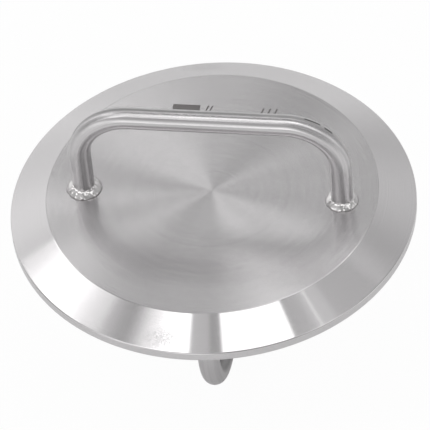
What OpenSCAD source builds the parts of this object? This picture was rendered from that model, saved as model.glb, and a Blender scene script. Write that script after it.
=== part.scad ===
// Blank end cap for a 4 inch sanitary clamp port, with a lifting handle welded on its outer
// face and a hanging loop welded under its sealing face. Millimetres.
// The origin is the centre of the flat sealing face, +Z points out through the handle, and
// +X runs along the handle. The loop stands square to the handle, along Y.

/* [Cap disc] */
// Outside diameter of the clamp flange
cap_od = 118.9; // [117.5:0.1:124]
// Full thickness of the disc
cap_h = 7.9; // [6.5:0.1:12]
// Height of the upright rim, before its edges are rounded
rim_h = 2.85; // [1.8:0.05:4.5]
// Radius of the flat outer face, where the clamp bevel starts
face_r = 48.55; // [46:0.05:52]
// Rounding of the rim's upper and lower edge
rim_edge_r = 0.5; // [0.2:0.05:0.8]
// Rounding of the edge between the outer face and the bevel
face_edge_r = 0.8; // [0.3:0.1:2]

/* [Gasket groove] */
// Diameter of the circle at the groove's middle
groove_pcd = 110.3; // [106:0.1:111.5]
// Radius of the groove's round bottom
groove_r = 2.4; // [1.8:0.1:3]
// Depth of the groove below the sealing face
groove_depth = 1.6; // [0.8:0.1:1.7]

/* [Rod] */
// Diameter of the drawn rod that the handle and the loop are bent from
rod_d = 6.35; // [5:0.05:8]

/* [Handle] */
// Distance between the handle's legs, centre to centre
handle_span = 75.8; // [60:0.1:80]
// Height of the grip's centre line above the outer face
handle_rise = 29.5; // [22:0.1:45]
// Bend radius at the rod's centre line
handle_bend_r = 15.3; // [8:0.1:18]
// How far the handle stands to the side of the disc's centre, along the handle
handle_off_x = 0.4; // [-2:0.1:2]
// How far the handle stands off the disc's centre line, square to the handle
handle_off_y = -1.5; // [-3:0.1:3]

/* [Hanging loop] */
// Distance between the loop's legs, centre to centre
loop_span = 57; // [54:0.5:80]
// Depth of the loop's lowest centre line below the sealing face
loop_depth = 57.2; // [40:0.1:90]
// Bend radius at the rod's centre line
loop_bend_r = 26.5; // [12:0.5:28]

/* [Weld beads] */
// Leg of the bead round the handle's left foot
left_bead_leg = 2.15; // [1.4:0.05:3]
// Leg of the bead round the handle's right foot
right_bead_leg = 1.75; // [1.4:0.05:3]
// Leg of the beads round the loop's feet
loop_bead_leg = 2; // [1.4:0.05:3]
// Number of ripples round each bead
bead_ripples = 13; // [9:1:15]

/* [Hidden] */

$fn = 120;

cap_r = cap_od / 2;
groove_pitch_r = groove_pcd / 2;
rod_r = rod_d / 2;

// slope of the clamp bevel, and where its roundings touch the straight lines
bevel_deg = atan2(cap_h - rim_h, cap_r - face_r);
rim_touch = rim_edge_r * tan((90 - bevel_deg) / 2);
face_touch = face_edge_r * tan(bevel_deg / 2);

// share of the bead leg that the plain fillet under the ripples reaches
bead_core = 0.86;
// how far a ripple's middle stands off the rod, and how much the ripples differ in size
ripple_out = 0.12;
ripple_vary = 0.07;
// the swing of the ripples' pitch round the foot, in degrees
ripple_swing = 4;

steel = [0.72, 0.72, 0.71];
drawn = [0.80, 0.80, 0.79];
bead = [0.86, 0.85, 0.83];

// half section of the disc: flat outer face, bevel, upright rim, flat sealing face
module cap_section() {
    difference() {
        union() {
            polygon([
                [0, 0],
                [cap_r - rim_edge_r, 0],
                [cap_r - rim_edge_r, rim_edge_r],
                [cap_r, rim_edge_r],
                [cap_r, rim_h - rim_touch],
                [cap_r - rim_edge_r, rim_h - rim_touch],
                [cap_r - rim_touch * cos(bevel_deg), rim_h + rim_touch * sin(bevel_deg)],
                [face_r + face_touch * cos(bevel_deg), cap_h - face_touch * sin(bevel_deg)],
                [face_r - face_touch, cap_h - face_edge_r],
                [face_r - face_touch, cap_h],
                [0, cap_h]
            ]);
            translate([cap_r - rim_edge_r, rim_edge_r]) circle(r = rim_edge_r);
            translate([cap_r - rim_edge_r, rim_h - rim_touch]) circle(r = rim_edge_r);
            translate([face_r - face_touch, cap_h - face_edge_r]) circle(r = face_edge_r);
        }
        translate([groove_pitch_r, groove_depth - groove_r]) circle(r = groove_r);
    }
}

// a U of rod standing on z = 0 with its legs along X and its middle bar at z = rise
module bent_rod(span, rise, bend_r) {
    leg_x = span / 2;
    bend_x = leg_x - bend_r;
    bend_z = rise - bend_r;
    for (side = [-1, 1])
        translate([side * leg_x, 0, 0]) cylinder(r = rod_r, h = bend_z);
    translate([bend_x, 0, bend_z]) rotate([90, 0, 0])
        rotate_extrude(angle = 90) translate([bend_r, 0]) circle(r = rod_r);
    translate([-bend_x, 0, bend_z]) rotate([90, 0, 0]) rotate([0, 0, 90])
        rotate_extrude(angle = 90) translate([bend_r, 0]) circle(r = rod_r);
    translate([-bend_x, 0, rise]) rotate([0, 90, 0]) cylinder(r = rod_r, h = 2 * bend_x);
}

// a rippled fillet weld round a rod that stands on z = 0
module weld_bead(leg, turn) {
    difference() {
        union() {
            rotate_extrude() translate([rod_r, 0]) circle(r = leg * bead_core);
            for (i = [0 : bead_ripples - 1])
                rotate([0, 0, turn + i * 360 / bead_ripples + ripple_swing * sin(i * 137 + turn)])
                    translate([rod_r + leg * ripple_out, 0, 0])
                        sphere(r = leg * (1 - ripple_out) * (1 + ripple_vary * sin(i * 101 + turn)));
        }
        translate([0, 0, -2 * leg]) cylinder(r = rod_r, h = 4 * leg);
        translate([0, 0, -2 * leg]) cylinder(r = rod_r + 3 * leg, h = 2 * leg);
    }
}

module cap() {
    color(steel) rotate_extrude() cap_section();
}

module handle() {
    color(drawn) translate([handle_off_x, handle_off_y, cap_h])
        bent_rod(handle_span, handle_rise, handle_bend_r);
}

module handle_weld_left() {
    color(bead) translate([handle_off_x - handle_span / 2, handle_off_y, cap_h])
        weld_bead(left_bead_leg, 10);
}

module handle_weld_right() {
    color(bead) translate([handle_off_x + handle_span / 2, handle_off_y, cap_h])
        weld_bead(right_bead_leg, 205);
}

module hop_loop() {
    color(drawn) rotate([180, 0, 90]) bent_rod(loop_span, loop_depth, loop_bend_r);
}

module loop_weld_front() {
    color(bead) translate([0, -loop_span / 2, 0]) rotate([180, 0, 0])
        weld_bead(loop_bead_leg, 75);
}

module loop_weld_back() {
    color(bead) translate([0, loop_span / 2, 0]) rotate([180, 0, 0])
        weld_bead(loop_bead_leg, 310);
}

cap();
handle();
handle_weld_left();
handle_weld_right();
hop_loop();
loop_weld_front();
loop_weld_back();
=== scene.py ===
"""A 4 inch sanitary clamp end cap with a welded handle and hanging loop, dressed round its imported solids.

Sizes are in millimetres and angles in degrees, unless a line says otherwise.
"""

import logging
import math
from dataclasses import dataclass, field
from enum import Enum
from typing import Iterable, Sequence, Union

import bmesh
import bpy
from mathutils import Matrix, Vector, noise


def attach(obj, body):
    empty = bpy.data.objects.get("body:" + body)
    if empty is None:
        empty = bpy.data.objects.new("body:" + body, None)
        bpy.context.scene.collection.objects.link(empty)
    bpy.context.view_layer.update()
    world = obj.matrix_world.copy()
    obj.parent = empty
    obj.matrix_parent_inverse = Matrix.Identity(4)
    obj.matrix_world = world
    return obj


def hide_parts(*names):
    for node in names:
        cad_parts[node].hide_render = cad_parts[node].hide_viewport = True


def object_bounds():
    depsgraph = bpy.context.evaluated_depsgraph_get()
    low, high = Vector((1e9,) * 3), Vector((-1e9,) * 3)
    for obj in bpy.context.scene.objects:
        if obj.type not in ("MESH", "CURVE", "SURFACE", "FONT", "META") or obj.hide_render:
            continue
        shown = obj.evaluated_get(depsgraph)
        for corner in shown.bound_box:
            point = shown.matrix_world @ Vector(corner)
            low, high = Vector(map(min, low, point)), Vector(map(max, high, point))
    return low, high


LOG = logging.getLogger("hop_port")

MM = 0.001  # metres
TINY = 1e-9
NOISE_MIDDLE = 0.5
NOISE_SPREAD = 0.16  # nearly all of a noise's values lie in a span this wide

Pair = tuple[float, float]
Triple = tuple[float, float, float]
Piece = bpy.types.Object
Material = bpy.types.Material
Point = bmesh.types.BMVert
Tree = bpy.types.NodeTree
Node = bpy.types.Node
Feed = Union[Node, bpy.types.NodeSocket, float]

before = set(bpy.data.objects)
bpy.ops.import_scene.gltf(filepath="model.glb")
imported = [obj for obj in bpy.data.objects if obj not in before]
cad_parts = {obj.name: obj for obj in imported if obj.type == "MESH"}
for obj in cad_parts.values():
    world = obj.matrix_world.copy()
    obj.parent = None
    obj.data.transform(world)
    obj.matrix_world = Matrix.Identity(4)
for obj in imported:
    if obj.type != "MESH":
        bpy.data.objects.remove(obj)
CAD_BOX = [list(corner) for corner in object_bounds()]


# Colour and node helpers


def linear(hex_code: str) -> tuple[float, float, float, float]:
    """Turns an sRGB hex colour into the linear colour that a shader takes.

    Args:
        hex_code: six hex digits, such as "c8c7c4".

    Returns:
        Linear red, green and blue, with an alpha of 1.
    """
    parts = [int(hex_code[i : i + 2], 16) / 255 for i in (0, 2, 4)]
    red, green, blue = (c / 12.92 if c <= 0.04045 else ((c + 0.055) / 1.055) ** 2.4 for c in parts)
    return red, green, blue, 1.0


def add(tree: Tree, kind: str, inputs: dict | Sequence = (), **settings: object) -> Node:
    """Adds one node to a tree, with its settings, values and links.

    Args:
        tree: the node tree of a material or of the world.
        kind: the node's type after "ShaderNode", such as "Math".
        inputs: the node's inputs in order, or by name or number. Each is a value, an output, or a node that feeds
            it by its first output. A map range takes a value, the ends that it comes from, and those it goes to.
        settings: the node's own properties.

    Returns:
        The new node.
    """
    new = tree.nodes.new("ShaderNode" + kind)
    for name, value in settings.items():
        setattr(new, name, value)
    for key, value in inputs.items() if isinstance(inputs, dict) else enumerate(inputs):
        if isinstance(value, Node):
            value = value.outputs[0]
        if isinstance(value, bpy.types.NodeSocket):
            tree.links.new(value, new.inputs[key])
        else:
            new.inputs[key].default_value = value
    return new


def band(tree: Tree, place: Feed, span: Pair, edge: float, end_edge: float | None = None) -> Node:
    """A value that is 1 inside a span and fades to 0 at its soft edges.

    Args:
        tree: the node tree.
        place: the coordinate to test.
        span: where the band starts and ends.
        edge: width of each soft edge.
        end_edge: width of the one at the end, where it differs.

    Returns:
        The node that gives the value.
    """
    end_edge = edge if end_edge is None else end_edge
    rise = add(tree, "MapRange", (place, span[0] - edge / 2, span[0] + edge / 2), interpolation_type="SMOOTHSTEP")
    fall = add(tree, "MapRange", (place, span[1] - end_edge / 2, span[1] + end_edge / 2, 1.0, 0.0),
               interpolation_type="SMOOTHSTEP")
    return add(tree, "Math", (rise, fall), operation="MULTIPLY")


def new_material(name: str) -> tuple[Material, Tree]:
    """Makes a node material with nothing in its tree.

    Args:
        name: the material's name.

    Returns:
        The material and its tree.
    """
    material = bpy.data.materials.new(name)
    material.use_nodes = True
    material.node_tree.nodes.clear()
    return material, material.node_tree


# Finishes


@dataclass(frozen=True)
class EtchedMark:
    """A plain mark burnt into a face: its middle, its half sizes, and how far it leans."""

    x: float
    y: float
    half_x: float
    half_y: float
    lean: float = 0.0


@dataclass(frozen=True)
class RubPatch:
    """A speckled spot that something has rubbed: its middle, how far it reaches, and how dark its specks are.

    It is squeezed along each axis, and rubbed in full out to its core, a share of its reach.
    """

    at: Triple
    reach: float
    darkening: float
    squeeze: Triple = (1.0, 1.9, 1.0)
    core: float = 0.2
    dulling: float = 0.1
    speck_mm: float = 0.3125
    speck_levels: Pair = (0.42, 0.62)


@dataclass(frozen=True)
class TurnedSteel:
    """Stainless steel faced on a lathe, which smears every reflection across its rings into a fan of soft rays.

    A finishing feed leaves rings of under 0.1 mm, which are less than a third of a pixel here. They are drawn finer
    still, so that each pixel blends many of them and none shows as a line.
    """

    name: str
    colour: str = "cfcdce"
    smooth: float = 0.15
    torn: float = 0.33
    torn_share: float = 0.5
    anisotropy: float = 0.95
    quarter_turn: float = 0.25
    ring_mm: float = 0.014
    ring_blend: float = 0.05
    ring_contrast: float = 0.04
    band_mm: float = 0.9
    smudge: float = 0.03
    smudge_mm: float = 18.18
    chatter_mm: float = 0.0
    chatter_pitch_mm: float = 1.25
    chatter_wrap_mm: float = 6.0
    rubs: Sequence[RubPatch] = ()
    marks: Sequence[EtchedMark] = ()
    burnt_colour: str = "64605f"
    burn_depth: float = 0.8
    burn_dulling: float = 0.25
    burn_edge_mm: float = 0.12

    def make(self) -> Material:
        """Builds the finish.

        Returns:
            A material whose highlights fan out from the axis, as on turned metal.
        """
        material, tree = new_material(self.name)
        place = add(tree, "TexCoord").outputs["Object"]
        height = add(tree, "SeparateXYZ", (place,)).outputs[2]
        flat = add(tree, "VectorMath", (place, (1.0, 1.0, 0.0)), operation="MULTIPLY")
        radius = add(tree, "VectorMath", (flat,), operation="LENGTH").outputs["Value"]
        across = add(tree, "Math", (radius, height), operation="SUBTRACT")
        # the feed of the tool leaves rings, each cut a little deeper or shallower than the last
        rings = add(tree, "TexNoise", {"W": across, "Scale": 1 / (self.ring_mm * MM), "Detail": 1.0,
                                       "Roughness": 0.7}, noise_dimensions="1D")
        bands = add(tree, "TexNoise", {"W": across, "Scale": 1 / (self.band_mm * MM), "Detail": 3.0},
                    noise_dimensions="1D")
        # a wiped, handled surface is never quite even
        wiped = add(tree, "TexNoise", {"Vector": place, "Scale": 1 / (self.smudge_mm * MM), "Detail": 5.0,
                                       "Roughness": 0.6})
        level = add(tree, "Math", (wiped, self.smudge, 1 - (self.ring_contrast + self.smudge) / 2),
                    operation="MULTIPLY_ADD")
        level = add(tree, "Math", (bands, self.ring_contrast, level), operation="MULTIPLY_ADD")
        # some rings are burnished by the tool and mirror sharply, others are torn and scatter widely
        middle = NOISE_MIDDLE + NOISE_SPREAD * (0.5 - self.torn_share)
        rough = add(tree, "MapRange", (rings, middle - self.ring_blend, middle + self.ring_blend, self.smooth,
                                       self.torn))
        for rub in self.rubs:
            level, rough = self._rub(tree, place, level, rough, rub)
        colour = add(tree, "VectorMath", {0: linear(self.colour)[:3], 3: level}, operation="SCALE")
        if self.marks:
            burnt = self._burnt(tree, place)
            colour = add(tree, "Mix", {0: burnt, 6: colour, 7: linear(self.burnt_colour)},
                         data_type="RGBA").outputs[2]
            rough = add(tree, "Math", (burnt, self.burn_dulling, rough), operation="MULTIPLY_ADD")
        inputs = {"Base Color": colour, "Roughness": rough, "Metallic": 1.0, "Anisotropic": self.anisotropy,
                  "Anisotropic Rotation": self.quarter_turn,
                  "Tangent": add(tree, "Tangent", direction_type="RADIAL", axis="Z")}
        if self.chatter_mm:
            inputs["Normal"] = self._chatter(tree, flat, radius)
        add(tree, "OutputMaterial", {"Surface": add(tree, "BsdfPrincipled", inputs)})
        return material

    def _chatter(self, tree: Tree, flat: Feed, radius: Feed) -> Node:
        """Ripples of a few microns, left where the tool shook: short round the disc, shorter across it.

        Args:
            tree: the material's tree.
            flat: the place on the disc, without its height.
            radius: the distance from the axis.

        Returns:
            The node that gives the bumped normal.
        """
        around = add(tree, "SeparateXYZ", (add(tree, "VectorMath", (flat,), operation="NORMALIZE"),)).outputs
        wrapped = add(tree, "CombineXYZ", (radius, around[0], around[1]))
        scaled = add(tree, "VectorMath", (wrapped, (1 / MM, self.chatter_wrap_mm, self.chatter_wrap_mm)),
                     operation="MULTIPLY")
        shake = add(tree, "TexNoise", {"Vector": scaled, "Scale": 1 / self.chatter_pitch_mm, "Detail": 2.0})
        return add(tree, "Bump", {"Height": shake, "Distance": self.chatter_mm * MM, "Strength": 1.0})

    def _rub(self, tree: Tree, place: Feed, level: Feed, rough: Feed, rub: RubPatch) -> tuple[Node, Node]:
        """A patch of small dull specks, where something has rubbed the surface.

        Args:
            tree: the material's tree.
            place: the object's coordinates.
            level: brightness so far.
            rough: roughness so far.
            rub: the patch.

        Returns:
            Brightness and roughness with the patch.
        """
        away = add(tree, "VectorMath", (place, tuple(v * MM for v in rub.at)), operation="SUBTRACT")
        away = add(tree, "VectorMath", (away, rub.squeeze), operation="MULTIPLY")
        reach = add(tree, "VectorMath", (away,), operation="LENGTH").outputs["Value"]
        near = add(tree, "MapRange", (reach, rub.core * rub.reach * MM, rub.reach * MM, 1.0, 0.0))
        specks = add(tree, "TexNoise", {"Vector": place, "Scale": 1 / (rub.speck_mm * MM), "Detail": 2.0,
                                        "Roughness": 0.7})
        dull = add(tree, "MapRange", (specks, *rub.speck_levels))
        patch = add(tree, "Math", (near, dull), operation="MULTIPLY")
        return (add(tree, "Math", (patch, -rub.darkening, level), operation="MULTIPLY_ADD"),
                add(tree, "Math", (patch, rub.dulling, rough), operation="MULTIPLY_ADD"))

    def _burnt(self, tree: Tree, place: Feed) -> Node:
        """Works out where the face is burnt dark by its plain marks.

        Args:
            tree: the material's tree.
            place: the object's coordinates.

        Returns:
            The node that gives how burnt a spot is, 0 off the marks.
        """
        axes = add(tree, "SeparateXYZ", (place,)).outputs
        burnt = 0.0
        for mark in self.marks:
            above = add(tree, "Math", (axes[1], mark.y * MM), operation="SUBTRACT")
            slant = add(tree, "Math", (above, -mark.lean, axes[0]), operation="MULTIPLY_ADD")
            spans = [band(tree, way, ((middle - half) * MM, (middle + half) * MM), self.burn_edge_mm * MM)
                     for way, middle, half in ((slant, mark.x, mark.half_x), (axes[1], mark.y, mark.half_y))]
            inside = add(tree, "Math", spans, operation="MULTIPLY")
            burnt = add(tree, "Math", (burnt, inside), operation="MAXIMUM")
        return add(tree, "Math", (burnt, self.burn_depth), operation="MULTIPLY")


@dataclass(frozen=True)
class RodScuff:
    """A dark dash that the bending die bit into a rod's outer side: its place along the rod and across it."""

    start: float
    end: float
    across: float
    half_width: float = 0.16
    end_fade: float = 0.4
    side_fade: float = 0.12
    darkness: float = 0.75


@dataclass(frozen=True)
class DrawnRod:
    """Stainless rod drawn through a die and polished: bright, with lines of every width along its length.

    Real drawing lines are too fine to show, so they are drawn about ten times as coarse. The finish reads the rod's
    own "section" attribute, in millimetres: x toward the inside of the bends, y across them and z along the rod.
    """

    name: str
    colour: str = "d8d6d7"
    roughness: float = 0.2
    roughness_swing: Pair = (0.8, 1.3)
    anisotropy: float = 1.0
    line_mm: float = 0.5
    line_squeeze: float = 0.012
    line_levels: Pair = (0.35, 0.65)
    line_depth_mm: float = 0.003
    line_contrast: float = 0.3
    grain_per_mm: Triple = (6.0, 6.0, 0.9)
    grain_levels: Pair = (0.3, 0.7)
    grain_contrast: float = 0.16
    # how much darker the inside of the bends is painted, as shade
    inside_painted_shade: float = 0.15
    inside_shade_mm: Pair = (0.5, 1.5)
    worn: float = 0.0
    worn_mm: Pair = (1.3, 2.0)
    spots_per_mm: Triple = (0.7, 0.7, 0.3)
    wear_darkening: float = 0.4
    wear_dulling: float = 0.14
    wear_relief: float = 5.0
    scuffs: Sequence[RodScuff] = ()

    def make(self) -> Material:
        """Builds the finish.

        Returns:
            The rod's material.
        """
        material, tree = new_material(self.name)
        section = add(tree, "Attribute", attribute_name="section").outputs["Vector"]
        drawn = add(tree, "Mapping", {"Vector": section, "Scale": (1.0, 1.0, self.line_squeeze)})
        lines = add(tree, "TexNoise", {"Vector": drawn, "Scale": 1 / self.line_mm, "Detail": 5.0, "Roughness": 0.6})
        grain = add(tree, "Mapping", {"Vector": section, "Scale": self.grain_per_mm})
        grain = add(tree, "TexNoise", {"Vector": grain, "Scale": 1.0, "Detail": 3.0})
        level = add(tree, "MapRange", (lines, *self.line_levels, 1 - self.line_contrast, 1.0))
        grained = add(tree, "Math", (grain, self.grain_contrast, 1 - self.grain_contrast / 2),
                      operation="MULTIPLY_ADD")
        worn, wear = self._worn(tree, section)
        darkened = add(tree, "Math", (wear, -self.wear_darkening, 1.0), operation="MULTIPLY_ADD")
        for share in (grained, self._scuffs_and_inside_shade(tree, section), darkened):
            level = add(tree, "Math", (level, share), operation="MULTIPLY")
        swing = [self.roughness * share for share in self.roughness_swing]
        rough = add(tree, "MapRange", (grain, *self.grain_levels, *swing))
        relief = add(tree, "Math", (wear, self.wear_relief, lines), operation="MULTIPLY_ADD")
        shader = add(tree, "BsdfPrincipled", {
            "Base Color": add(tree, "VectorMath", {0: linear(self.colour)[:3], 3: level}, operation="SCALE"),
            "Roughness": add(tree, "Math", (worn, self.wear_dulling, rough), operation="MULTIPLY_ADD"),
            "Normal": add(tree, "Bump", {"Height": relief, "Distance": self.line_depth_mm * MM, "Strength": 1.0}),
            "Metallic": 1.0,
            "Anisotropic": self.anisotropy,
            # the belt that polished it ran round the rod, so it smears reflections along the rod
            "Tangent": add(tree, "Tangent", direction_type="UV_MAP", uv_map="along"),
        })
        add(tree, "OutputMaterial", {"Surface": shader})
        return material

    def _worn(self, tree: Tree, section: Feed) -> tuple[Node, Node]:
        """Works out where hands have dulled the rod, in soft spots on the side that faces outward and back.

        Args:
            tree: the material's tree.
            section: the "section" attribute.

        Returns:
            Nodes that give how worn a spot is, and the same broken up into spots.
        """
        half_way = math.sqrt(0.5)
        outward = add(tree, "VectorMath", (section, (-half_way, half_way, 0.0)), operation="DOT_PRODUCT")
        worn = add(tree, "MapRange", (outward.outputs["Value"], *self.worn_mm, 0.0, self.worn))
        spots = add(tree, "Mapping", {"Vector": section, "Scale": self.spots_per_mm})
        spots = add(tree, "TexNoise", {"Vector": spots, "Scale": 1.0, "Detail": 3.0})
        return worn, add(tree, "Math", (worn, spots), operation="MULTIPLY")

    def _scuffs_and_inside_shade(self, tree: Tree, section: Feed) -> Node:
        """Works out the brightness that the dark dashes and the painted shade on the inside of the bends leave.

        Args:
            tree: the material's tree.
            section: the "section" attribute.

        Returns:
            The node that gives it: 1 off the dashes and the shaded inside, and lower on them.
        """
        axes = add(tree, "SeparateXYZ", (section,)).outputs
        # painted shade: the inside of the bends is darkened, where the rod lies in shade and mirrors the dark parts
        # next to it
        left = add(tree, "MapRange", (axes[0], *self.inside_shade_mm, 1.0, 1 - self.inside_painted_shade))
        for mark in self.scuffs:
            side = (mark.across - mark.half_width, mark.across + mark.half_width)
            dash = add(tree, "Math", (axes[0], 0.0), operation="LESS_THAN")
            for strip in (band(tree, axes[2], (mark.start, mark.end), mark.end_fade),
                          band(tree, axes[1], side, mark.side_fade)):
                dash = add(tree, "Math", (dash, strip), operation="MULTIPLY")
            left = add(tree, "Math", (dash, -mark.darkness, left), operation="MULTIPLY_ADD")
        return left


@dataclass(frozen=True)
class WeldMetal:
    """Stainless weld as laid: a glassy, softly lumpy skin, pitted here and there and dark along its toe, partly heat
    tint and partly painted shade in the crease.

    It reads how far up the bead's slope it is from the bead's "climb" attribute, 0 on the plate and 1 on the rod.
    """

    name: str
    colour: str = "d8d6d6"
    dark: str = "4f4b49"
    roughness: float = 0.06
    grain_mm: float = 0.9
    grain_depth_mm: float = 0.09
    pit_mm: float = 1.1
    pit_rim: Pair = (0.08, 0.2)
    pit_depth: float = 0.3
    pit_stain: float = 0.7
    wander_mm: float = 2.381
    toe_wander: float = 0.4
    toe_reach: float = 0.13
    toe_tint_and_shade: float = 0.5
    stain_and_shade_dulling: float = 0.25

    def make(self) -> Material:
        """Builds the finish.

        Returns:
            The bead's material.
        """
        material, tree = new_material(self.name)
        place = add(tree, "TexCoord").outputs["Object"]
        climb = add(tree, "Attribute", attribute_name="climb").outputs["Fac"]
        grain = add(tree, "TexNoise", {"Vector": place, "Scale": 1 / (self.grain_mm * MM), "Detail": 2.0,
                                       "Roughness": 0.45})
        wander = add(tree, "TexNoise", {"Vector": place, "Scale": 1 / (self.wander_mm * MM), "Detail": 2.0})
        pits = add(tree, "TexVoronoi", {"Vector": place, "Scale": 1 / (self.pit_mm * MM), "Randomness": 1.0})
        pitted = add(tree, "MapRange", (pits, *self.pit_rim, 1.0, 0.0))
        # slag and heat leave a dark line where the bead runs out on the plate, darkened further as painted shade in
        # the crease there
        toe = add(tree, "Math", (wander, -self.toe_wander, climb), operation="MULTIPLY_ADD")
        toe = add(tree, "MapRange", (toe, -self.toe_reach, 0.0, self.toe_tint_and_shade, 0.0))
        stain_and_shade = add(tree, "Math", (pitted, self.pit_stain), operation="MULTIPLY")
        stain_and_shade = add(tree, "Math", (stain_and_shade, toe), operation="MAXIMUM")
        height = add(tree, "Math", (pitted, -self.pit_depth, grain), operation="MULTIPLY_ADD")
        shader = add(tree, "BsdfPrincipled", {
            "Base Color": add(tree, "Mix", {0: stain_and_shade, 6: linear(self.colour), 7: linear(self.dark)},
                              data_type="RGBA").outputs[2],
            "Roughness": add(tree, "Math", (stain_and_shade, self.stain_and_shade_dulling, self.roughness), operation="MULTIPLY_ADD"),
            "Normal": add(tree, "Bump", {"Height": height, "Distance": self.grain_depth_mm * MM, "Strength": 1.0}),
            "Metallic": 1.0,
        })
        add(tree, "OutputMaterial", {"Surface": shader})
        return material


# Meshes


def finish_mesh(bm: bmesh.types.BMesh, name: str, materials: Iterable[Material],
                sharp_degrees: float = 35.0) -> Piece:
    """Turns a bmesh into a smooth piece on body root, with its hard edges kept sharp.

    Args:
        bm: the mesh, in metres, in the row frame. It is freed here.
        name: the piece's name.
        materials: the piece's material slots in order.
        sharp_degrees: edges that turn by more than this stay crisp.

    Returns:
        The finished object, at the origin.
    """
    for edge in bm.edges:
        edge.smooth = not (edge.is_manifold and edge.calc_face_angle(0.0) > math.radians(sharp_degrees))
    for face in bm.faces:
        face.smooth = True
    mesh = bpy.data.meshes.new(name)
    bm.to_mesh(mesh)
    bm.free()
    for material in materials:
        mesh.materials.append(material)
    piece = bpy.data.objects.new(name, mesh)
    bpy.context.scene.collection.objects.link(piece)
    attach(piece, "root")
    return piece


def arc(centre: Pair, radius: float, start: float, end: float, steps: int) -> list[tuple]:
    """Points on an arc, for the outline of a turned piece.

    Args:
        centre: the arc's middle, as radius and height.
        radius: the arc's radius.
        start: angle of the first point, from the outward direction.
        end: angle of the last point.
        steps: number of stretches between the points.

    Returns:
        The points, first to last.
    """
    turn = [math.radians(start + (end - start) * i / steps) for i in range(steps + 1)]
    return [(centre[0] + radius * math.cos(t), centre[1] + radius * math.sin(t)) for t in turn]


class CapZone(Enum):
    """The cap's surfaces, in the order of its material slots."""

    FACE = 0
    BEVEL = 1
    EDGE = 2
    RIM = 3
    SEAL = 4


FACE_MARKS = (
    EtchedMark(-12.2, 33.4, 4.1, 1.7),
    *(EtchedMark(x, 33.6, 0.22, 1.5, 0.25) for x in (-6.0, -4.8)),
    *(EtchedMark(x, 33.4, 0.22, 1.5, 0.25) for x in (10.6, 12.6, 14.6)),
)


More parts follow.
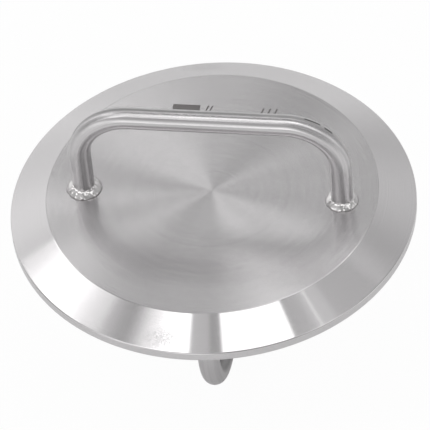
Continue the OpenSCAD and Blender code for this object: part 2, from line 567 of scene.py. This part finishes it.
@dataclass
class EndCap:
    """The turned disc: flat face, clamp bevel, upright rim, and the sealing face with its gasket groove.

    Guard is the narrow flat beside each rounded corner, which keeps the shading of the wide surfaces even. The
    facing sizes say which surface a part of the outline belongs to, by how far its normal points up.
    """

    radius: float = 59.45
    height: float = 7.9
    rim_height: float = 2.85
    face_radius: float = 48.55
    rim_edge: float = 0.5
    face_edge: float = 0.8
    groove_middle: float = 55.15
    groove_radius: float = 2.4
    groove_depth: float = 1.6
    guard: float = 0.12
    turns: int = 288
    corner_steps: int = 6
    face_edge_steps: int = 5
    groove_steps: int = 14
    seal_inset: float = 1.6
    seal_lip: float = 0.15
    bevel_facing: float = 0.89
    edge_facing: float = 0.1
    under_facing: float = -0.5
    finishes: dict[CapZone, TurnedSteel] = field(default_factory=lambda: {
        # faced with a fine feed: soft rays that meet at the middle, under a few plain burnt marks
        CapZone.FACE: TurnedSteel("turned face", smooth=0.14, torn=0.36, torn_share=0.35, anisotropy=0.93,
                                  chatter_mm=0.0018, ring_contrast=0.03, marks=FACE_MARKS),
        # cut with a keener tool: brighter and streakier, with three spots that a clamp has rubbed
        CapZone.BEVEL: TurnedSteel("turned bevel", smooth=0.1, torn=0.2, torn_share=0.25, anisotropy=1.0,
                                   band_mm=0.45, ring_contrast=0.12, smudge=0.05,
                                   rubs=(RubPatch((-6.3, -55.6, 5.0), 7, 0.38), RubPatch((-10.7, 55.0, 5.0), 9, 0.1),
                                         RubPatch((-52.0, 16.0, 6.0), 11, -0.07, (1.0, 0.7, 1.0)))),
        # corners broken with a file and polished: thin bright lines
        CapZone.EDGE: TurnedSteel("broken edge", smooth=0.07, torn=0.12, torn_share=0.3, anisotropy=0.3),
        # straight off the tool: duller and even
        CapZone.RIM: TurnedSteel("turned rim", smooth=0.2, torn=0.3, anisotropy=0.8),
        CapZone.SEAL: TurnedSteel("turned sealing face", smooth=0.2, torn=0.34, anisotropy=0.9),
    })

    def outline(self) -> list[Pair]:
        """Works out the disc's half section, from the middle of the face round to the middle of the underside.

        Returns:
            Points as radius and height.
        """
        slope = math.degrees(math.atan2(self.height - self.rim_height, self.radius - self.face_radius))
        tilt = math.radians(slope)
        face_touch = self.face_edge * math.tan(tilt / 2)
        rim_touch = self.rim_edge * math.tan(math.radians(90 - slope) / 2)
        rim_middle = self.radius - self.rim_edge
        along = Vector((math.cos(tilt), -math.sin(tilt)))
        bevel_top = Vector((self.face_radius, self.height)) + along * (face_touch + self.guard)
        bevel_end = Vector((self.radius, self.rim_height)) - along * (rim_touch + self.guard)
        mouth = math.degrees(math.acos((self.groove_radius - self.groove_depth) / self.groove_radius))
        groove = (self.groove_middle, self.groove_depth - self.groove_radius)
        half_mouth = self.groove_radius * math.sin(math.radians(mouth))
        return [
            (0.0, self.height), (self.face_radius / 2, self.height),
            (self.face_radius - face_touch - self.guard, self.height),
            *arc((self.face_radius - face_touch, self.height - self.face_edge), self.face_edge, 90, 90 - slope,
                 self.face_edge_steps),
            tuple(bevel_top), tuple((bevel_top + bevel_end) / 2), tuple(bevel_end),
            *arc((rim_middle, self.rim_height - rim_touch), self.rim_edge, 90 - slope, 0, self.corner_steps),
            (self.radius, self.rim_height / 2),
            *arc((rim_middle, self.rim_edge), self.rim_edge, 0, -90, self.corner_steps),
            (self.groove_middle + half_mouth + self.guard, 0.0),
            *arc(groove, self.groove_radius, 90 - mouth, 90 + mouth, self.groove_steps),
            (self.groove_middle - half_mouth - self.guard, 0.0), (self.groove_middle / 2, 0.0), (0.0, 0.0),
        ]

    def zone(self, face: bmesh.types.BMFace) -> CapZone:
        """Says which surface a face of the turned mesh belongs to.

        Args:
            face: the face.

        Returns:
            The surface.
        """
        middle = face.calc_center_median() / MM
        radius = math.hypot(middle.x, middle.y)
        in_groove = radius < self.radius - self.seal_inset and middle.z < self.rim_height
        if middle.z < self.seal_lip or face.normal.z < self.under_facing or in_groove:
            return CapZone.SEAL
        if radius <= self.face_radius:
            return CapZone.FACE
        if face.normal.z > self.bevel_facing:
            return CapZone.BEVEL
        return CapZone.EDGE if face.normal.z > self.edge_facing else CapZone.RIM

    def build(self) -> Piece:
        """Spins the half section into the disc and gives each surface its finish.

        Returns:
            The cap, in place of its solid.
        """
        bm = bmesh.new()
        points = [bm.verts.new((r * MM, 0.0, z * MM)) for r, z in self.outline()]
        edges = [bm.edges.new(pair) for pair in zip(points, points[1:])]
        bmesh.ops.spin(bm, geom=points + edges, cent=(0, 0, 0), axis=(0, 0, 1), dvec=(0, 0, 0),
                       angle=math.tau, steps=self.turns, use_merge=True, use_duplicate=False)
        bmesh.ops.remove_doubles(bm, verts=bm.verts, dist=1e-7)
        bmesh.ops.recalc_face_normals(bm, faces=bm.faces)
        bm.normal_update()
        for face in bm.faces:
            face.material_index = self.zone(face).value
        piece = finish_mesh(bm, "cap_disc", [self.finishes[zone].make() for zone in CapZone])
        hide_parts("cap")
        return piece


@dataclass
class BentRod:
    """A U of drawn rod, welded by its two cut ends: the handle, or the hanging loop.

    Span and bend are to the middle of the rod, and rise is from its ends to the middle of the bar.
    """

    name: str
    node: str
    span: float
    rise: float
    bend: float
    finish: DrawnRod
    placing: Matrix
    rod: float = 6.35
    sides: int = 64
    bend_steps: int = 28
    straight_step: float = 4.0
    map_mm: float = 100.0

    def build(self) -> Piece:
        """Draws a circle along the U, leg, bend, bar, bend, leg, marking each ring with its place along the rod.

        Returns:
            The rod, in place of its solid.
        """
        bm = bmesh.new()
        section = bm.verts.layers.float_vector.new("section")
        foot = bmesh.ops.create_circle(bm, cap_ends=False, segments=self.sides, radius=self.rod / 2 * MM,
                                       matrix=Matrix.Translation((-self.span / 2 * MM, 0, 0)))["verts"]
        for vert in foot:
            vert[section] = (vert.co.x / MM + self.span / 2, vert.co.y / MM, 0.0)
        ring = list(bm.edges)
        bmesh.ops.contextual_create(bm, geom=ring)
        travelled = 0.0
        leg, bar = self.rise - self.bend, self.span - 2 * self.bend
        for move, steps, length in (self._straight(Vector((0, 0, leg))), self._turn(-bar / 2),
                                    self._straight(Vector((bar, 0, 0))), self._turn(bar / 2),
                                    self._straight(Vector((0, 0, -leg)))):
            for _ in range(steps):
                made = bmesh.ops.extrude_edge_only(bm, edges=ring)["geom"]
                verts = [part for part in made if isinstance(part, Point)]
                ring = [part for part in made if isinstance(part, bmesh.types.BMEdge)]
                bmesh.ops.transform(bm, matrix=move, verts=verts)
                travelled += length
                for vert in verts:
                    vert[section].z = travelled
        bmesh.ops.contextual_create(bm, geom=ring)
        bmesh.ops.recalc_face_normals(bm, faces=bm.faces)
        self._unroll(bm, section)
        bm.transform(self.placing)
        piece = finish_mesh(bm, self.name, [self.finish.make()])
        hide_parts(self.node)
        return piece

    def _straight(self, run: Vector) -> tuple[Matrix, int, float]:
        """Splits a straight stretch into steps.

        Args:
            run: the stretch as a vector.

        Returns:
            The move that one step makes, the number of steps, and the rod that one takes.
        """
        steps = max(1, round(run.length / self.straight_step))
        return Matrix.Translation(run / steps * MM), steps, run.length / steps

    def _turn(self, x: float) -> tuple[Matrix, int, float]:
        """Splits a quarter bend into steps.

        Args:
            x: where the bend's middle is along the bar.

        Returns:
            The move that one step makes, the number of steps, and the rod that one takes.
        """
        step = math.radians(90) / self.bend_steps
        middle = Matrix.Translation(Vector((x, 0, self.rise - self.bend)) * MM)
        return middle @ Matrix.Rotation(step, 4, "Y") @ middle.inverted(), self.bend_steps, self.bend * step

    def _unroll(self, bm: bmesh.types.BMesh, section: bmesh.types.BMLayerItem) -> None:
        """Gives each face a flat map, with the rod's length along u and its girth along v.

        Args:
            bm: the mesh.
            section: the layer that holds each point's place on the rod.
        """
        flat = bm.loops.layers.uv.new("along")
        for face in bm.faces:
            turns = [math.atan2(loop.vert[section].y, loop.vert[section].x) / math.tau for loop in face.loops]
            wraps = max(turns) - min(turns) > 0.5
            for loop, turn in zip(face.loops, turns):
                loop[flat].uv = (loop.vert[section].z / self.map_mm, turn + 1 if wraps and turn < 0 else turn)


@dataclass
class WeldBead:
    """A fillet bead run by hand round the foot of a rod: overlapping ripples, with lumps where it stopped.

    Heights of ripples, lumps and swells, and the sag of its slope, are shares of its leg, which is how far it
    reaches up the rod and out on the plate. Turn sets where its ripples start and which lumps it has.
    """

    name: str
    node: str
    foot: Triple
    leg: float
    turn: float
    upward: bool = True
    rod: float = 6.35
    sunk_in_rod: float = 0.15
    sunk_in_plate: float = 0.03
    still: float = 0.01
    ripples: int = 13
    ripple_lean: float = 0.35
    ripple_wander: float = 0.3
    ripple_curve: float = 1.6
    ripple_height: float = 0.06
    lump_mm: float = 1.1
    lump_height: float = 0.07
    swell_mm: float = 2.6
    swell_height: float = 0.1
    sag: float = 0.1
    fullness: float = 0.92
    fullest: float = 0.999
    steps: int = 208
    arc_steps: int = 14
    crisp_degrees: float = 60.0
    finish: WeldMetal = WeldMetal("weld metal")

    def build(self) -> Piece:
        """Spins the bead's section round the rod and raises its ripples.

        Returns:
            The bead, in place of its solid.
        """
        bm = bmesh.new()
        side = self.rod / 2
        outline = [(side - self.sunk_in_rod, -self.sunk_in_plate), (side + self.leg, -self.sunk_in_plate),
                   *arc((side, 0.0), self.leg, 0, 90, self.arc_steps), (side - self.sunk_in_rod, self.leg)]
        points = [bm.verts.new((r * MM, 0.0, z * MM)) for r, z in outline]
        edges = [bm.edges.new(pair) for pair in zip(points, points[1:] + points[:1])]
        bmesh.ops.spin(bm, geom=points + edges, cent=(0, 0, 0), axis=(0, 0, 1), dvec=(0, 0, 0), angle=math.tau,
                       steps=self.steps, use_merge=True, use_duplicate=False)
        climb = bm.verts.layers.float.new("climb")
        for vert in bm.verts:
            out = math.hypot(vert.co.x, vert.co.y) - side * MM
            slope = math.atan2(max(vert.co.z, 0.0), max(out, TINY))
            vert[climb] = slope / math.radians(90)
            if out >= -self.still * MM:
                self._raise(vert, out, slope)
        bmesh.ops.recalc_face_normals(bm, faces=bm.faces)
        flip = Matrix.Identity(4) if self.upward else Matrix.Rotation(math.pi, 4, "X")
        bm.transform(Matrix.Translation(Vector(self.foot) * MM) @ flip)
        piece = finish_mesh(bm, self.name, [self.finish.make()], self.crisp_degrees)
        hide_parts(self.node)
        return piece

    def _raise(self, vert: Point, out: float, slope: float) -> None:
        """Moves one point of the bead in or out, by the ripple and the lumps at its place.

        Args:
            vert: the point, in metres from the rod's foot.
            out: its distance from the rod's side, in metres.
            slope: its angle up from the plate, in radians.
        """
        bearing = math.atan2(vert.co.y, vert.co.x)
        outward = Vector((math.cos(bearing), math.sin(bearing), 0.0))
        reach = math.hypot(out, max(vert.co.z, 0.0)) / (self.leg * MM)
        beat = self.ripples * bearing / math.tau + self.turn / 360 + self.ripple_lean * math.sin(slope * 2)
        beat += self.ripple_wander * noise.noise(Vector((2 * math.cos(bearing), 2 * math.sin(bearing), self.turn)))
        ripple = 1 - (beat % 1.0) ** self.ripple_curve
        lump = noise.noise(vert.co / (self.lump_mm * MM) + Vector((self.turn, 0, 0)))
        swell = noise.noise(vert.co / (self.swell_mm * MM) + Vector((0, self.turn, 0)))
        # low in the middle of the slope, so that the bead is a fillet and not a ring
        size = 1 - self.sag * math.sin(2 * slope)
        size *= self.fullness + self.ripple_height * ripple + self.lump_height * lump + self.swell_height * swell
        size = min(size, self.fullest) * reach * self.leg * MM
        rise = size * math.sin(slope) + min(vert.co.z, 0.0)
        vert.co = outward * (self.rod / 2 * MM + size * math.cos(slope)) + Vector((0.0, 0.0, rise))


# Studio


@dataclass(frozen=True)
class Panel:
    """A soft light overhead, as the rectangle that it covers one unit above the object.

    The sides of a fanned one aren't parallel: they run together at the studio's ring middle. Its right side is as
    soft as its left one, unless right_edge says otherwise.
    """

    name: str
    x: Pair
    y: Pair
    strength: float
    edge_x: float = 0.05
    edge_y: float = 0.1
    fanned: bool = False
    right_edge: float | None = None


@dataclass(frozen=True)
class FanLamp:
    """A lamp beside the spot that the flat face mirrors to the camera, seen from there as a wedge.

    The turned rings smear it into one ray of the fan, and into a second one opposite.
    """

    name: str
    bearing: float
    strength: float
    half_angle: float = 12.0
    near: float = 0.05
    far: float = 0.5


@dataclass(frozen=True)
class Wall:
    """A pale stretch of the room round the object, by the camera's compass: 0 right, 90 away."""

    name: str
    azimuth: float
    elevation: float
    strength: float
    half_width: float = 45.0
    half_height: float = 25.0


@dataclass
class Studio:
    """Camera, floor and the soft light all round, in the camera's own compass.

    Focal_per_distance is in pixels per millimetre at the object. Panels and lamps are placed where a line of sight
    crosses a ceiling one unit up.
    """

    azimuth: float = 11.42
    elevation: float = 45.75
    roll: float = -5.395
    distance: float = 1056.0
    focal_per_distance: float = 3.415
    picture: float = 430.0
    origin_px: Pair = (213.75, 209.25)
    sensor: float = 36.0
    clip_m: Pair = (0.05, 20.0)
    floor_drop: float = 0.3
    floor_half_m: float = 4.0
    floor_colour: str = "f6f6f6"
    floor_roughness: float = 0.9
    floor_white: float = 0.96
    floor_glow: float = 0.08
    ring_middle: float = 0.71
    softbox_line: float = -0.1
    horizon: float = 0.001
    fan_edge: float = 0.05
    room: float = 0.44
    panels: Sequence[Panel] = (
        Panel("right softbox", (-0.02, 0.297), (-0.28, 0.035), 1.8, 0.008, 0.1, True),
        Panel("left softbox", (-0.42, -0.155), (-0.3, 0.1), 1.1, 0.23, 0.1, True, 0.02),
        Panel("left softbox's end", (-0.28, -0.155), (-0.3, 0.1), 0.9, 0.14, 0.1, True, 0.02),
        Panel("gap between them", (-0.145, -0.07), (-0.4, 0.3), 0.26, 0.02, 0.1, True),
        Panel("right card", (0.42, 0.6), (-0.2, 0.3), 0.14, 0.06, 0.1, True),
        Panel("right card's bright edge", (0.462, 0.478), (-0.2, 0.3), 0.5, 0.008, 0.1, True),
        Panel("right reflector", (0.66, 0.8), (0.28, 0.5), 0.17, 0.06, 0.06),
        Panel("window", (-0.98, -0.72), (0.1, 0.88), 1.9, 0.04, 0.04),
        Panel("window's curtain", (-0.72, -0.52), (0.1, 0.82), 1.0, 0.04, 0.04),
        Panel("window sill", (-0.93, -0.52), (-0.2, 0.1), 0.55, 0.06),
        Panel("right wash", (0.285, 0.8), (-0.15, 0.6), 0.2, 0.1, 0.15),
        Panel("tube to the far left", (-2.6, -0.93), (-0.6, -0.1), 0.2, 0.2, 0.1),
        Panel("tube to the left", (-0.93, -0.35), (-0.6, -0.22), 1.4, 0.05, 0.05),
        Panel("tube overhead", (-0.35, 0.3), (-0.6, -0.22), 0.3, 0.05, 0.05),
        Panel("tube to the right", (0.3, 1.1), (-0.6, -0.15), 0.42, 0.05, 0.05),
        Panel("front wash", (-0.9, 0.5), (-1.6, -0.9), 0.17, 0.2, 0.2),
    )
    fan: Sequence[FanLamp] = (
        FanLamp("lamp behind", 84, 1.05, 26, 0.04, 0.2),
        FanLamp("lamp behind on the left", 118, 1.6, 17, 0.04, 0.2),
        FanLamp("lamp on the left", 168, 4.0, 10, 0.04, 0.2),
        FanLamp("lamp near on the left", 208, 1.15, 13, 0.04, 0.2),
        FanLamp("strip lamp on the left", 226, 0.9, 9, 0.04, 0.3),
        FanLamp("lamp ahead on the left", 215, 1.9, 13, 0.2, 0.55),
        FanLamp("lamp ahead", 284, 2.8, 17, 0.2, 0.55),
        FanLamp("lamp ahead on the right", 309, 2.4, 16, 0.2, 0.55),
    )
    walls: Sequence[Wall] = (
        Wall("back left wall", 135, 20, 0.72, 45, 40),
        Wall("back right wall", 45, 25, 0.34, 45, 35),
        Wall("back of the table", 90, 4, 0.67, 50, 14),
        Wall("left wall", 190, 30, 0.08, 20, 35),
        Wall("front left wall", 220, 45, 0.3, 30, 22),
        Wall("front left of the table", 215, 12, 1.2, 32, 20),
        Wall("table beside the camera", 250, 12, 1.2, 20, 25),
        Wall("table's front edge", 255, 4, 1.0, 20, 14),
        Wall("front right wall", 328, 45, 1.0, 22, 20),
        Wall("right of the table", 345, 12, 0.8, 28, 25),
        Wall("dark behind the camera", 272, 42, -0.25, 22, 22),
    )

    def axes(self) -> tuple[Vector, Vector, Vector]:
        """Works out the camera's right, up and back directions.

        Returns:
            Three unit vectors in the row frame.
        """
        a, e, t = (math.radians(v) for v in (self.azimuth, self.elevation, self.roll))
        back = Vector((math.sin(a) * math.cos(e), -math.cos(a) * math.cos(e), math.sin(e)))
        level = Vector((math.cos(a), math.sin(a), 0.0))
        rise = back.cross(level)
        return (level * math.cos(t) + rise * math.sin(t), rise * math.cos(t) - level * math.sin(t), back)

    def camera(self) -> Piece:
        """Puts the camera at the photograph's viewpoint.

        Returns:
            The camera, set as the scene's own.
        """
        right, up, back = self.axes()
        data = bpy.data.cameras.new("camera")
        data.sensor_fit = "HORIZONTAL"
        data.sensor_width = self.sensor
        data.lens = self.sensor * self.focal_per_distance * self.distance / self.picture
        data.clip_start, data.clip_end = self.clip_m
        camera = bpy.data.objects.new("camera", data)
        bpy.context.scene.collection.objects.link(camera)
        # the origin lies a little off the picture's middle, so the camera is moved sideways by that much
        off_x = (self.origin_px[0] - self.picture / 2) / self.focal_per_distance
        off_y = (self.picture / 2 - self.origin_px[1]) / self.focal_per_distance
        place = back * self.distance - right * off_x - up * off_y
        turn = Matrix((right, up, back)).transposed().to_4x4()
        camera.matrix_world = Matrix.Translation(place * MM) @ turn
        bpy.context.scene.camera = camera
        return camera

    def world(self) -> None:
        """Lights the object from all round, and shows plain white behind it."""
        world = bpy.data.worlds.new("studio")
        bpy.context.scene.world = world
        world.use_nodes = True
        tree = world.node_tree
        tree.nodes.clear()
        direction = add(tree, "TexCoord").outputs["Generated"]
        compass = add(tree, "VectorRotate", {"Vector": direction, "Angle": -math.radians(self.azimuth)},
                      rotation_type="Z_AXIS")
        axes = add(tree, "SeparateXYZ", (compass,)).outputs
        height = add(tree, "Math", (axes[2], self.horizon), operation="MAXIMUM")
        x = add(tree, "Math", (axes[0], height), operation="DIVIDE")
        y = add(tree, "Math", (axes[1], height), operation="DIVIDE")
        light = self._panel_light(tree, x, y)
        light = self._fan_light(tree, x, y, light)
        light = self._wall_light(tree, compass, axes[2], light)
        seen = add(tree, "LightPath").outputs["Is Camera Ray"]
        level = add(tree, "Mix", {0: seen, 2: light, 3: 1.0}, data_type="FLOAT")
        shader = add(tree, "Background", {"Color": linear("ffffff"), "Strength": level})
        add(tree, "OutputWorld", {"Surface": shader})

    def _panel_light(self, tree: Tree, x: Feed, y: Feed) -> Node:
        """Adds the panels to the room's own light.

        Args:
            tree: the world's tree.
            x: how far right a line of sight crosses the ceiling.
            y: how far away it crosses it.

        Returns:
            The node that gives the light.
        """
        # how far left or right a spot is as the ring's middle sees it, measured on the softboxes' line
        across = add(tree, "Math", (x, self.ring_middle - self.softbox_line), operation="MULTIPLY")
        depth = add(tree, "Math", (self.ring_middle, y), operation="SUBTRACT")
        depth = add(tree, "Math", (depth, 0.01), operation="MAXIMUM")
        wide = add(tree, "Math", (across, depth), operation="DIVIDE")
        light = self.room
        for panel in self.panels:
            side = band(tree, wide if panel.fanned else x, panel.x, panel.edge_x, panel.right_edge)
            light = self._shine(tree, light, panel.strength, side, band(tree, y, panel.y, panel.edge_y))
        return light

    def _fan_light(self, tree: Tree, x: Feed, y: Feed, light: Feed) -> Node:
        """Adds the lamps round the spot that the flat face mirrors to the camera.

        Args:
            tree: the world's tree.
            x: how far right a line of sight crosses the ceiling.
            y: how far away it crosses it.
            light: the light so far.

        Returns:
            The node that gives the light with the lamps.
        """
        mirrored = add(tree, "Math", (y, 1 / math.tan(math.radians(self.elevation))), operation="SUBTRACT")
        spot = add(tree, "CombineXYZ", (x, mirrored))
        reach = add(tree, "VectorMath", (spot,), operation="LENGTH").outputs["Value"]
        for lamp in self.fan:
            wedge = self._fade(tree, self._off(tree, spot, lamp.bearing), 0.0, lamp.half_angle)
            light = self._shine(tree, light, lamp.strength, wedge,
                                band(tree, reach, (lamp.near, lamp.far), self.fan_edge))
        return light

    def _wall_light(self, tree: Tree, compass: Feed, height: Feed, light: Feed) -> Node:
        """Adds the pale walls and the table.

        Args:
            tree: the world's tree.
            compass: the direction by the camera's compass.
            height: that direction's upward part.
            light: the light so far.

        Returns:
            The node that gives the light with the walls.
        """
        rise = add(tree, "Math", (height,), operation="ARCSINE")
        for wall in self.walls:
            side = self._fade(tree, self._off(tree, compass, wall.azimuth), 0.0, wall.half_width)
            light = self._shine(tree, light, wall.strength, side,
                                self._fade(tree, rise, wall.elevation, wall.half_height))
        return light

    def _shine(self, tree: Tree, light: Feed, strength: float, *covers: Feed) -> Node:
        """Adds one source to the light, in full where both of its covers are 1."""
        cover = add(tree, "Math", covers, operation="MULTIPLY")
        return add(tree, "Math", (cover, strength, light), operation="MULTIPLY_ADD")

    def _off(self, tree: Tree, way: Feed, bearing: float) -> Node:
        """Works out how far round a direction lies from a bearing.

        Args:
            tree: the world's tree.
            way: the direction.
            bearing: the bearing.

        Returns:
            The node that gives the angle, in radians.
        """
        turned = add(tree, "VectorRotate", {"Vector": way, "Angle": -math.radians(bearing)}, rotation_type="Z_AXIS")
        axes = add(tree, "SeparateXYZ", (turned,)).outputs
        return add(tree, "Math", (axes[1], axes[0]), operation="ARCTAN2")

    def _fade(self, tree: Tree, angle: Feed, middle: float, half: float) -> Node:
        """A value that is 1 at an angle and fades smoothly to 0 on both sides of it.

        Args:
            tree: the world's tree.
            angle: the angle to test, in radians.
            middle: where the value is 1.
            half: how far away it has faded out.

        Returns:
            The node that gives the value.
        """
        away = add(tree, "Math", (angle, math.radians(middle)), operation="SUBTRACT")
        away = add(tree, "Math", (away,), operation="ABSOLUTE")
        return add(tree, "MapRange", (away, 0.0, math.radians(half), 1.0, 0.0), interpolation_type="SMOOTHSTEP")

    def floor(self, lowest: float) -> Piece:
        """Lays a wide pale floor under the object.

        Args:
            lowest: height of the object's lowest point, in metres.

        Returns:
            The floor, which isn't part of the object.
        """
        bm = bmesh.new()
        bmesh.ops.create_grid(bm, x_segments=1, y_segments=1, size=self.floor_half_m,
                              matrix=Matrix.Translation((0, 0, lowest - self.floor_drop * MM)))
        mesh = bpy.data.meshes.new("floor")
        bm.to_mesh(mesh)
        bm.free()
        # matt white paint on board: seen by the camera it is white, apart from a little of the object's shadow
        material, tree = new_material("white floor")
        paint = add(tree, "BsdfPrincipled", {"Base Color": linear(self.floor_colour),
                                             "Roughness": self.floor_roughness})
        glow = add(tree, "Emission", {"Color": linear("ffffff"), "Strength": 1.0})
        rays = add(tree, "LightPath").outputs
        seen = add(tree, "Math", (rays["Is Camera Ray"], self.floor_white), operation="MULTIPLY")
        seen = add(tree, "Math", (rays["Is Glossy Ray"], self.floor_glow, seen), operation="MULTIPLY_ADD")
        add(tree, "OutputMaterial", {"Surface": add(tree, "MixShader", (seen, paint, glow))})
        mesh.materials.append(material)
        floor = bpy.data.objects.new("floor", mesh)
        bpy.context.scene.collection.objects.link(floor)
        return floor

    def build(self) -> None:
        """Sets up camera, light, floor and the plain view transform."""
        self.camera()
        self.world()
        self.floor(CAD_BOX[0][2])
        bpy.context.scene.view_settings.view_transform = "Standard"


def main() -> None:
    """Builds the studio and the object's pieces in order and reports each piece."""
    logging.basicConfig(level=logging.INFO, format="%(name)s: %(message)s")
    Studio().build()
    cap = EndCap()
    right, back, top = 0.4, -1.5, cap.height
    handle = BentRod(
        "handle_rod", "handle", span=75.8, rise=29.5, bend=15.3,
        placing=Matrix.Translation(Vector((right, back, top)) * MM),
        finish=DrawnRod("drawn handle rod", worn=0.8,
                        scuffs=(RodScuff(88.3, 92.4, 0.85, 0.36), RodScuff(93.6, 96.0, 0.5, 0.38))))
    # the loop hangs upside down, square to the handle, and nothing has polished it
    loop = BentRod(
        "hop_loop_rod", "hop_loop", span=57.0, rise=57.2, bend=26.5,
        placing=Matrix.Rotation(math.radians(90), 4, "Z") @ Matrix.Rotation(math.radians(180), 4, "X"),
        # its finish paints strong shade on the inside of its bend
        finish=DrawnRod("drawn loop rod", colour="d0cecf", roughness=0.36, anisotropy=0.4, line_depth_mm=0.0,
                        line_contrast=0.12, inside_painted_shade=0.45))
    leg, side = handle.span / 2, loop.span / 2
    beads = (
        WeldBead("handle_bead_left", "handle_weld_left", (right - leg, back, top), 2.15, 10),
        WeldBead("handle_bead_right", "handle_weld_right", (right + leg, back, top), 1.75, 205),
        WeldBead("loop_bead_front", "loop_weld_front", (0.0, -side, 0.0), 2.0, 75, upward=False),
        WeldBead("loop_bead_back", "loop_weld_back", (0.0, side, 0.0), 2.0, 310, upward=False),
    )
    for part in (cap, handle, loop, *beads):
        piece = part.build()
        LOG.info("%s: %d faces of %s", piece.name, len(piece.data.polygons), piece.data.materials[0].name)


if __name__ == "__main__":
    main()
